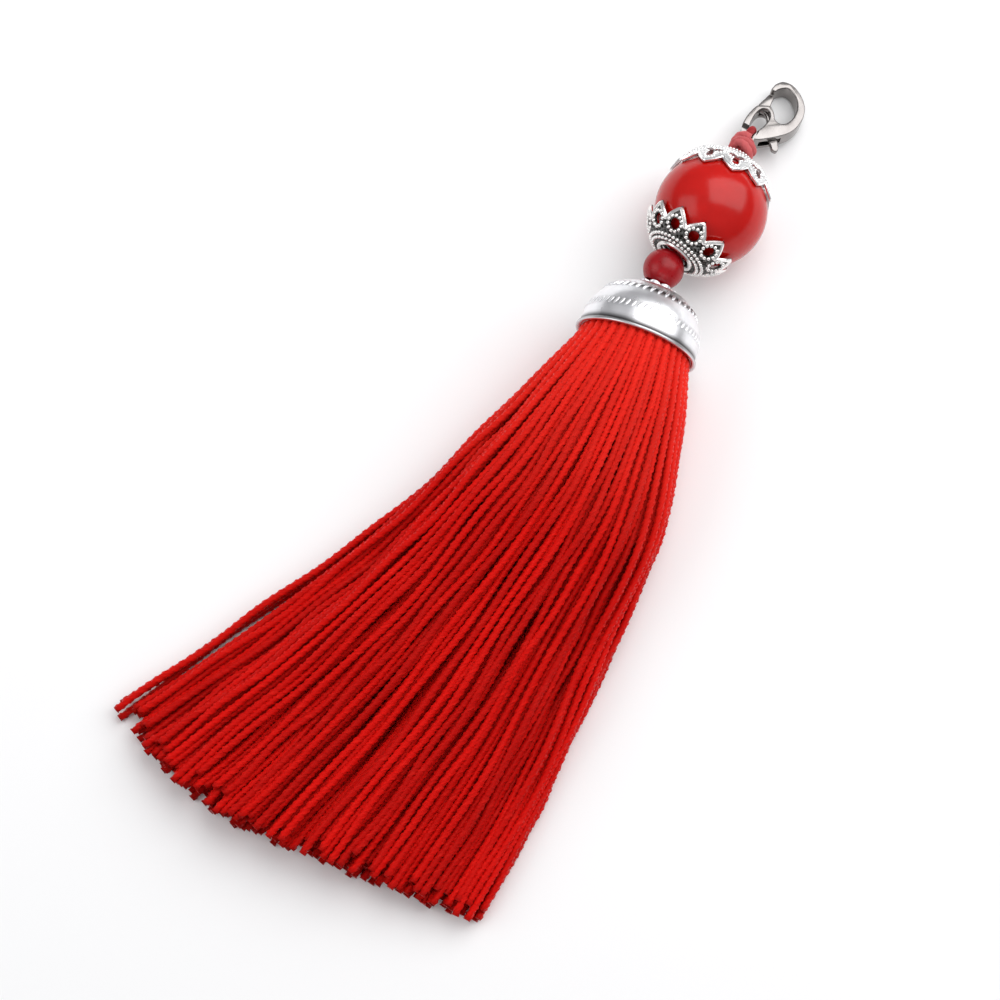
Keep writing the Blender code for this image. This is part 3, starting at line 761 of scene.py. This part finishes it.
def bead(name, radius, bore, centre, line, steps, flat=None):
    """A round bead with a straight bore and softly rounded mouths."""
    mouth = float(np.arcsin(bore / radius))
    edge = 0.09
    angles = np.linspace(mouth + edge, pi - mouth - edge, steps // 2)
    side = [(radius * sin(a), radius * cos(a)) for a in angles]
    end = radius * cos(mouth)
    lip = [(bore, end - radius * 0.09), (bore + 0.04, end - radius * 0.03),
           (bore + radius * 0.035, end)]
    profile = lip + side + [(across, -height) for across, height in lip[::-1]]
    mesh = spun(name, profile, steps, Matrix.Translation(centre) @ aim(line))
    if flat is not None:
        for vert in mesh.vertices:
            vert.co.z = max(vert.co.z, flat)
    return mesh


def recess_shade_mask(mesh, place, lines):
    """How much painted shade each point of the bell gets from the hollow beside a (radius, height,
    depth).
    """
    to_bell = np.array(place.inverted())
    points = np.array([(*vert.co / MM, 1.0) for vert in mesh.vertices]) @ to_bell.T
    around = np.hypot(points[:, 0], points[:, 1])
    deep = np.zeros(len(points))
    for radius, height, depth in lines:
        away = np.hypot(around - radius, points[:, 2] - height) / RECESS_REACH
        deep = np.maximum(deep, depth * np.clip(1.3 - away, 0, 1))
    return deep


def silver_bell(material, rope):
    """The bell with its rolled rim, its two rope borders and its scalloped seat."""
    place = Matrix.Translation(RIM_CENTRE) @ aim(CAP_AXIS)
    outer = flat_path(BELL, 3, closed=False)
    inner = [(max(radius - BELL_WALL, BELL_BORE), max(height - BELL_WALL, 0.0))
             for radius, height in BELL if height > 0.7]
    inner = [(8.35, 0.0), (8.05, 0.3)] + inner[:-1] + [(BELL_BORE, 8.4)]
    bell = spun("silver_bell", outer[::-1] + inner, BELL_STEPS, place)
    for vert in bell.vertices:
        vert.co.z = max(vert.co.z, 0.0)
    meshes = [bell]
    # hollows of the bell that get painted shade, each as radius, height and strength
    lines = [(BANDS[0].radius, BANDS[0].height, 0.9), (BANDS[1].radius, BANDS[1].height, 0.35),
             (*RIM_STEP, 0.9)]
    for band in BANDS:
        mesh = grown(guide_mesh(band.name, [([(0, 0, 0), (1, 0, 0)], False)]), rope,
                     Radius=band.radius * MM, Count=band.count, Long=band.long * MM,
                     Wide=band.wide * MM, Tall=band.tall * MM, Slant=radians(band.slant),
                     Tip=radians(90 - band.tip), Material=material)
        shift = Matrix.Translation(RIM_CENTRE * MM) @ aim(CAP_AXIS)
        mesh.transform(shift @ Matrix.Translation((0, 0, band.height * MM)))
        meshes.append(mesh)
    meshes.append(scalloped_seat(place))
    return joined("silver_bell", meshes, "recess_shade", [recess_shade_mask(bell, place, lines), 0, 0, 0])


def scalloped_seat(place):
    """The scalloped collar on the bell's top, in which the small bead sits."""
    shape = bmesh.new()
    rows = []
    for radius, height, share in SEAT:
        row = []
        for step in range(SEAT_STEPS):
            turn = tau * step / SEAT_STEPS
            wave = abs(sin(turn * SCALLOPS / 2)) ** 0.7
            reach = radius - 0.45 * share * (1 - wave)
            level = height - 0.2 * share * (1 - wave)
            row.append(shape.verts.new((reach * cos(turn), reach * sin(turn), level)))
        rows.append(row)
    for row, after in zip(rows, rows[1:] + rows[:1]):
        add_faces(shape, row, after)
    return to_mesh("bell_seat", shape, place)


def on_cap(cap, turn, angle, lift):
    """A point lifted off a cap's inside, at a turn and an angle from its pole in degrees."""
    a, b = radians(turn + cap.turn), radians(angle)
    stand_off = cap.rise * max(1 - (angle / CAP_SEAT) ** 2, 0.0)
    reach = min(CAP_INNER + stand_off, cap.flat / cos(b)) + lift
    return Vector((reach * sin(b) * cos(a), reach * sin(b) * sin(a), reach * cos(b)))


def petal_edge(cap, turn):
    """Angle from the pole to a cap's edge at a turn round its axis, in degrees."""
    phase = (turn * PETALS / 360) % 1.0
    rise = (1 - abs(2 * phase - 1)) ** cap.arch
    return cap.valley + (cap.tip - cap.valley) * rise


def opening_points(opening, steps):
    """The edge of an opening round its middle: (degrees across, degrees from the pole)."""
    points = []
    for i in range(steps):
        t = tau * i / steps
        size = 1 + opening.depth * cos(opening.lobes * (t - pi / 2)) if opening.lobes else 1.0
        across = opening.wide * size * cos(t) / sin(radians(opening.middle))
        points.append((across, opening.middle + opening.tall * size * sin(t)))
    return points


def cell_strip(shape, cap, middle, low, high, opening, lift):
    """One cell of openwork: a pierced plate between two angles, and a half petal each side."""
    half = 180 / PETALS
    ticks = np.linspace(-half, half, PETAL_STEPS + 1)
    foot = [(t, low) for t in ticks]
    crown = [(t, high(middle + t)) for t in ticks[::-1]]
    right = [(half, low + (crown[0][1] - low) * k / 4) for k in (1, 2, 3)]
    left = [(-half, low + (crown[-1][1] - low) * k / 4) for k in (3, 2, 1)]
    outer = foot + right + crown + left
    ring = opening_points(opening, OPENING_STEPS)
    angles = [np.arctan2(v - opening.middle, u * sin(radians(opening.middle)))
              for u, v in outer]
    rings = []
    for share in (0.0, 0.12, 0.45, 0.8, 1.0):
        row = []
        for (u, v), angle in zip(outer, angles):
            i = int(round(angle / tau * OPENING_STEPS)) % OPENING_STEPS
            hu, hv = ring[i]
            row.append(shape.verts.new(on_cap(cap, middle + hu + (u - hu) * share,
                                              hv + (v - hv) * share, lift)))
        rings.append(row)
    for row, after in zip(rings, rings[1:]):
        add_faces(shape, row, after)


def bead_cap(cap, material, cords, grains):
    """A pierced cap: its plate, a smooth wire along its edge, and lines of grains."""
    shape = bmesh.new()
    skin = CAP_THICK * 0.4
    hole = float(np.degrees(np.arctan2(cap.hole, cap.flat)))
    for petal in range(PETALS):
        middle = (petal + 0.5) * 360 / PETALS
        cell_strip(shape, cap, middle, cap.foot, lambda t: petal_edge(cap, t),
                   cap.openings[0], skin)
        cell_strip(shape, cap, middle, cap.collar, lambda t: cap.foot, cap.openings[1], skin)
    steps = PETALS * PETAL_STEPS
    for low, high in ((hole, (hole + cap.collar) / 2), ((hole + cap.collar) / 2, cap.collar)):
        for i in range(steps):
            turns = (360 * i / steps, 360 * (i + 1) / steps)
            corners = [(turns[0], low), (turns[1], low), (turns[1], high), (turns[0], high)]
            shape.faces.new([shape.verts.new(on_cap(cap, t, a, skin)) for t, a in corners])
    plate = to_mesh(cap.name, shape)

    def thicken(holder):
        """Give the pierced skin its thickness."""
        modifier = holder.modifiers.new("thickness", "SOLIDIFY")
        modifier.thickness = CAP_THICK * 0.8 * MM
        modifier.offset = 0.0

    def wire(path, radius):
        """A smooth round wire, grown as a cord without plies."""
        values = {label: [value] * len(path)
                  for label, value in (("along", 0.0), ("ending", 9.0), ("tint", 0.0))}
        return grown(guide_mesh("wire", [(path, True)], values), cords, Step=0.22 * MM,
                     Pitch=1.0, Head=1.0, Radius=radius * MM, Groove=0.0, Corners=8,
                     Material=material)

    meshes = [solved(plate, thicken)]
    levels = [0.0 if cap is LOWER_CAP else 0.45]
    inset = float(np.degrees(cap.wire / CAP_INNER))
    meshes.append(wire([on_cap(cap, t, petal_edge(cap, t) - inset, CAP_THICK * 0.7)
                        for t in np.arange(0, 360, 1.5)], cap.wire))
    levels.append(1.0)
    lines = []
    for petal in range(PETALS):
        middle = (petal + 0.5) * 360 / PETALS
        opening = cap.openings[0]
        margin = float(np.degrees(cap.grain / CAP_INNER))
        wider = opening._replace(tall=opening.tall + margin, wide=opening.wide + margin)
        lines.append(([on_cap(cap, middle + u, v, CAP_THICK)
                       for u, v in opening_points(wider, 40)], True))
    lines += [([on_cap(cap, t, angle, CAP_THICK) for t in range(0, 360, 3)], True)
              for angle in cap.grains]
    meshes.append(grown(guide_mesh("grain_lines", lines), grains, Radius=cap.grain * MM,
                        Spacing=cap.grain * GRAIN_SPACING * MM, Material=material))
    levels.append(0.85)
    if cap is LOWER_CAP:
        height = cap.flat + CAP_THICK
        meshes.append(wire([Vector((RING_MIDDLE * cos(t), RING_MIDDLE * sin(t), height))
                            for t in np.linspace(0, tau, 72, endpoint=False)], RING_WIRE))
        levels.append(1.0)
    mesh = joined(cap.name, meshes, "relief", levels)
    mesh.transform(Matrix.Translation(BEAD_CENTRE * MM) @ aim(cap.line))
    return mesh


# ---------------------------------------------------------------- knotting cord

def cord_path():
    """The cord from the head through the bores and the clasp's eye, and its two windings."""
    low = RIM_CENTRE + CAP_AXIS * 4.3
    neck = RIM_CENTRE + CAP_AXIS * 9.5 + NECK_SHIFT
    small = BEAD_CENTRE + LOWER_LINE * SMALL_DISTANCE + SMALL_SHIFT
    enter = BEAD_CENTRE + (LOWER_LINE * (LOWER_CAP.flat + CAP_THICK) - BORE_LINE * BEAD_RADIUS) / 2
    leave = BEAD_CENTRE + (UPPER_LINE * (UPPER_CAP.flat + CAP_THICK) + BORE_LINE * BEAD_RADIUS) / 2
    pitch = Matrix.Rotation(CLASP_PITCH, 3, "X")
    bar = CLASP_PLACE + pitch @ Vector((*EYE_BAR, CLASP_THICK / 2))
    over = pitch @ Vector((0, 0, 1))
    ahead = pitch @ Vector((0, 1, 0))
    stem = (bar - leave).normalized()
    side = stem.cross(over).normalized()
    below = stem.cross(side).normalized()
    main = [low, low.lerp(neck, 0.5), neck, small, enter, BEAD_CENTRE, leave,
            leave + stem * KNOT_LOW, leave + stem * KNOT_HIGH]
    main += [bar + over * up + ahead * along for up, along in EYE_TURNS]
    main.append(leave + stem * KNOT_HIGH + below * KNOT_CORD)
    paths = [smooth_path(main, 8)]
    for wrap in WRAPS:
        points = []
        for i in range(33):
            share = i / 32
            angle = wrap.phase + tau * wrap.turns * share
            along = wrap.start + (wrap.end - wrap.start) * share + 0.3 * sin(2 * angle)
            around = below * cos(angle) + side * sin(angle)
            points.append(leave + stem * along + around * wrap.radius)
        paths.append(smooth_path(points, 3))
    return paths


def knotting_cord(material, tree):
    """The glossy cord and its knot."""
    paths = []
    values = {"along": [], "ending": [], "tint": []}
    for path in cord_path():
        paths.append((path, False))
        values["along"] += list(lengths_along(np.array(path)) * MM)
        values["ending"] += [2.0] * len(path)
        values["tint"] += [0.3] * len(path)
    return grown(guide_mesh("knotting_cord", paths, values), tree, Step=KNOT_STEP * MM,
                 Pitch=KNOT_PITCH * MM, Head=1.0, Radius=KNOT_CORD / 2 * MM,
                 Groove=KNOT_GROOVE, Corners=KNOT_CORNERS, Material=material)


# ---------------------------------------------------------------- clasp

def plate(name, outline, holes, levels):
    """A flat piece with holes, between two levels, in the clasp's own frame."""
    shape = bmesh.new()
    for loop in [outline, *holes]:
        verts = [shape.verts.new((x, y, levels[0])) for x, y in loop]
        for i, vert in enumerate(verts):
            shape.edges.new((verts[i - 1], vert))
    bmesh.ops.triangle_fill(shape, edges=shape.edges[:], use_beauty=True)
    bmesh.ops.dissolve_limit(shape, angle_limit=0.01, verts=shape.verts, edges=shape.edges)
    faces = bmesh.ops.extrude_face_region(shape, geom=shape.faces[:])["geom"]
    raised = [item for item in faces if isinstance(item, bmesh.types.BMVert)]
    bmesh.ops.translate(shape, verts=raised, vec=(0, 0, levels[1] - levels[0]))
    return to_mesh(name, shape)


def circle(centre, radius, steps=20):
    """Points on a circle."""
    return [(centre[0] + radius * cos(tau * i / steps),
             centre[1] + radius * sin(tau * i / steps)) for i in range(steps)]


def block(name, corners, levels):
    """An upright box."""
    (left, back), (right, front) = corners
    return plate(name, [(left, back), (right, back), (right, front), (left, front)], [], levels)


def round_edges(holder, width, segments):
    """Round a casting's sharp edges."""
    rounded = holder.modifiers.new("rounded", "BEVEL")
    rounded.width = width * MM
    rounded.segments = segments
    rounded.limit_method = "ANGLE"
    rounded.angle_limit = radians(50)


def cast_clasp():
    """The casting and its lever, rounded as tumbled castings are."""
    outline = flat_path(CASTING, 6, closed=False) + CLAW_TIP
    body = plate("clasp_casting", outline, [flat_path(EYE_HOLE, 5)], (0, CLASP_THICK))
    slot = plate("slot", SLOT_SHAPE, [circle(PIVOT, PIN_RADIUS)], SLOT)
    below = block("below", EYE_CUT, (-1, EYE_SLAB[0]))
    above = block("above", EYE_CUT, (EYE_SLAB[1], CLASP_THICK + 1))
    cutters = [linked(mesh.name, mesh) for mesh in (slot, below, above)]

    def shape_body(holder):
        """Round the casting, then cut the lever's slot and thin the eye."""
        round_edges(holder, *CASTING_EDGE)
        for cutter in cutters:
            cut = holder.modifiers.new(cutter.name, "BOOLEAN")
            cut.operation = "DIFFERENCE"
            cut.solver = "EXACT"
            cut.object = cutter

    body = solved(body, shape_body)
    for cutter in cutters:
        bpy.data.objects.remove(cutter, do_unlink=True)

    lever = plate("clasp_lever", flat_path(LEVER_SHAPE, 5, closed=False) + LEVER_TIP,
                  [circle(PIVOT, PIN_RADIUS + PIN_GAP)], LEVER)
    lever = solved(lever, lambda holder: round_edges(holder, *LEVER_EDGE))
    place = Matrix.Translation(CLASP_PLACE * MM) @ Matrix.Rotation(CLASP_PITCH, 4, "X")
    body.transform(place)
    lever.transform(place)
    return body, lever


# ---------------------------------------------------------------- stage

def camera():
    """A long lens, looking down on the tassel."""
    data = bpy.data.cameras.new("camera")
    data.lens = CAMERA_LENS
    data.clip_start = 0.01
    item = linked("camera", data)
    a, e = CAMERA_AZIMUTH, CAMERA_ELEVATION
    back = Vector((sin(a) * cos(e), -cos(a) * cos(e), sin(e)))
    item.location = CAMERA_SPOT * MM
    item.rotation_mode = "QUATERNION"
    item.rotation_quaternion = (-back).to_track_quat("-Z", "Y")
    bpy.context.scene.camera = item


def stage():
    """A pale floor under large soft lights."""
    shape = bmesh.new()
    bmesh.ops.create_grid(shape, x_segments=1, y_segments=1, size=FLOOR_HALF)
    mesh = to_mesh("floor", shape)
    mesh.materials.append(matt_paper("matt_paper", "#F4F4F4"))
    floor = linked("floor", mesh)
    floor.location.z = -FLOOR_DROP * MM
    for light in LIGHTS:
        data = bpy.data.lights.new(light.name, "AREA")
        data.shape = "RECTANGLE"
        data.size = light.width * MM
        data.size_y = light.height * MM
        data.energy = light.radiance * pi * data.size * data.size_y
        item = linked(light.name, data)
        ahead = Vector(light.direction).normalized()
        edge = (LIGHT_EDGE - ahead * LIGHT_EDGE.dot(ahead)).normalized()
        item.location = ahead * light.distance * MM
        item.rotation_mode = "QUATERNION"
        turn = Matrix((edge, ahead.cross(edge), ahead)).transposed()
        item.rotation_quaternion = turn.to_quaternion()
    world = bpy.data.worlds.new("studio")
    world.use_nodes = True
    bpy.context.scene.world = world
    tree = world.node_tree
    place = add_node(tree, "ShaderNodeTexCoord").outputs["Generated"]
    height = add_node(tree, "ShaderNodeSeparateXYZ", None, {0: place}).outputs["Z"]
    low, high, strength = SKY
    tone = blend_colours(tree, remap(tree, height, 0.0, 0.7), low, high)
    tree.links.new(tone, tree.nodes["Background"].inputs["Color"])
    tree.nodes["Background"].inputs["Strength"].default_value = strength


def dress():
    """Make every visible piece."""
    cords, grains, rope = cord_tree(), bead_tree(), rope_tree()
    # the last colour of each cord is its painted highlight, near its head and on its glints
    silk = silk_floss("silk_floss", "#E2130E", "#C00D0A", "#980706", "#FF3A2C")
    knot = silk_floss("waxed_knotting_cord", "#B54B4E", "#99262C", "#620910", "#E07A7C")
    # the bell's last colour is the painted shade in its recesses
    bell_plate = bright_plate("electroplated_silver", "#FAFAFC", "#E4E4E8", 0.3, "#2B2829")
    cap_plate = antique_plate("bright_filigree_silver", "#FCFCFC", "#4E4A48")
    dark_plate = antique_plate("antique_filigree_silver", "#F6F4F2", "#15120F")
    resin = cast_resin("polished_resin", "#C00F08", "#AE0A04", 6.0, 0.2, Specular_IOR_Level=0.34)
    coral = cast_resin("dyed_coral", "#9E0814", "#84050F", 2.2, 0.3, Specular_IOR_Level=0.3)
    nickel = bright_plate("tumbled_nickel", "#9C9896", "#7A7573", 0.17)

    skirt(silk, cords)
    add_piece("silver_bell", silver_bell(bell_plate, rope), bell_plate, "tassel", "tassel_cap",
              50)
    large = bead("polished_bead", BEAD_RADIUS, BEAD_BORE, BEAD_CENTRE, BORE_LINE, 128, 0.0)
    add_piece("polished_bead", large, resin, "tassel", "large_bead", 60)
    small = bead("coral_bead", SMALL_RADIUS, SMALL_BORE,
                 BEAD_CENTRE + LOWER_LINE * SMALL_DISTANCE, LOWER_LINE, 72)
    add_piece("coral_bead", small, coral, "tassel", "small_bead", 60)
    add_piece(LOWER_CAP.name, bead_cap(LOWER_CAP, dark_plate, cords, grains), dark_plate,
              "tassel", "lower_bead_cap", 40)
    add_piece(UPPER_CAP.name, bead_cap(UPPER_CAP, cap_plate, cords, grains), cap_plate,
              "tassel", "upper_bead_cap", 40)
    add_piece("knotting_cord", knotting_cord(knot, cords), knot, "tassel", "hanging_cord")
    body, lever = cast_clasp()
    add_piece("clasp_casting", body, nickel, "tassel", "clasp_body", 40)
    add_piece("clasp_lever", lever, nickel, "gate", "clasp_gate", 40)


camera()
stage()
dress()
bpy.context.scene.view_settings.view_transform = "Standard"
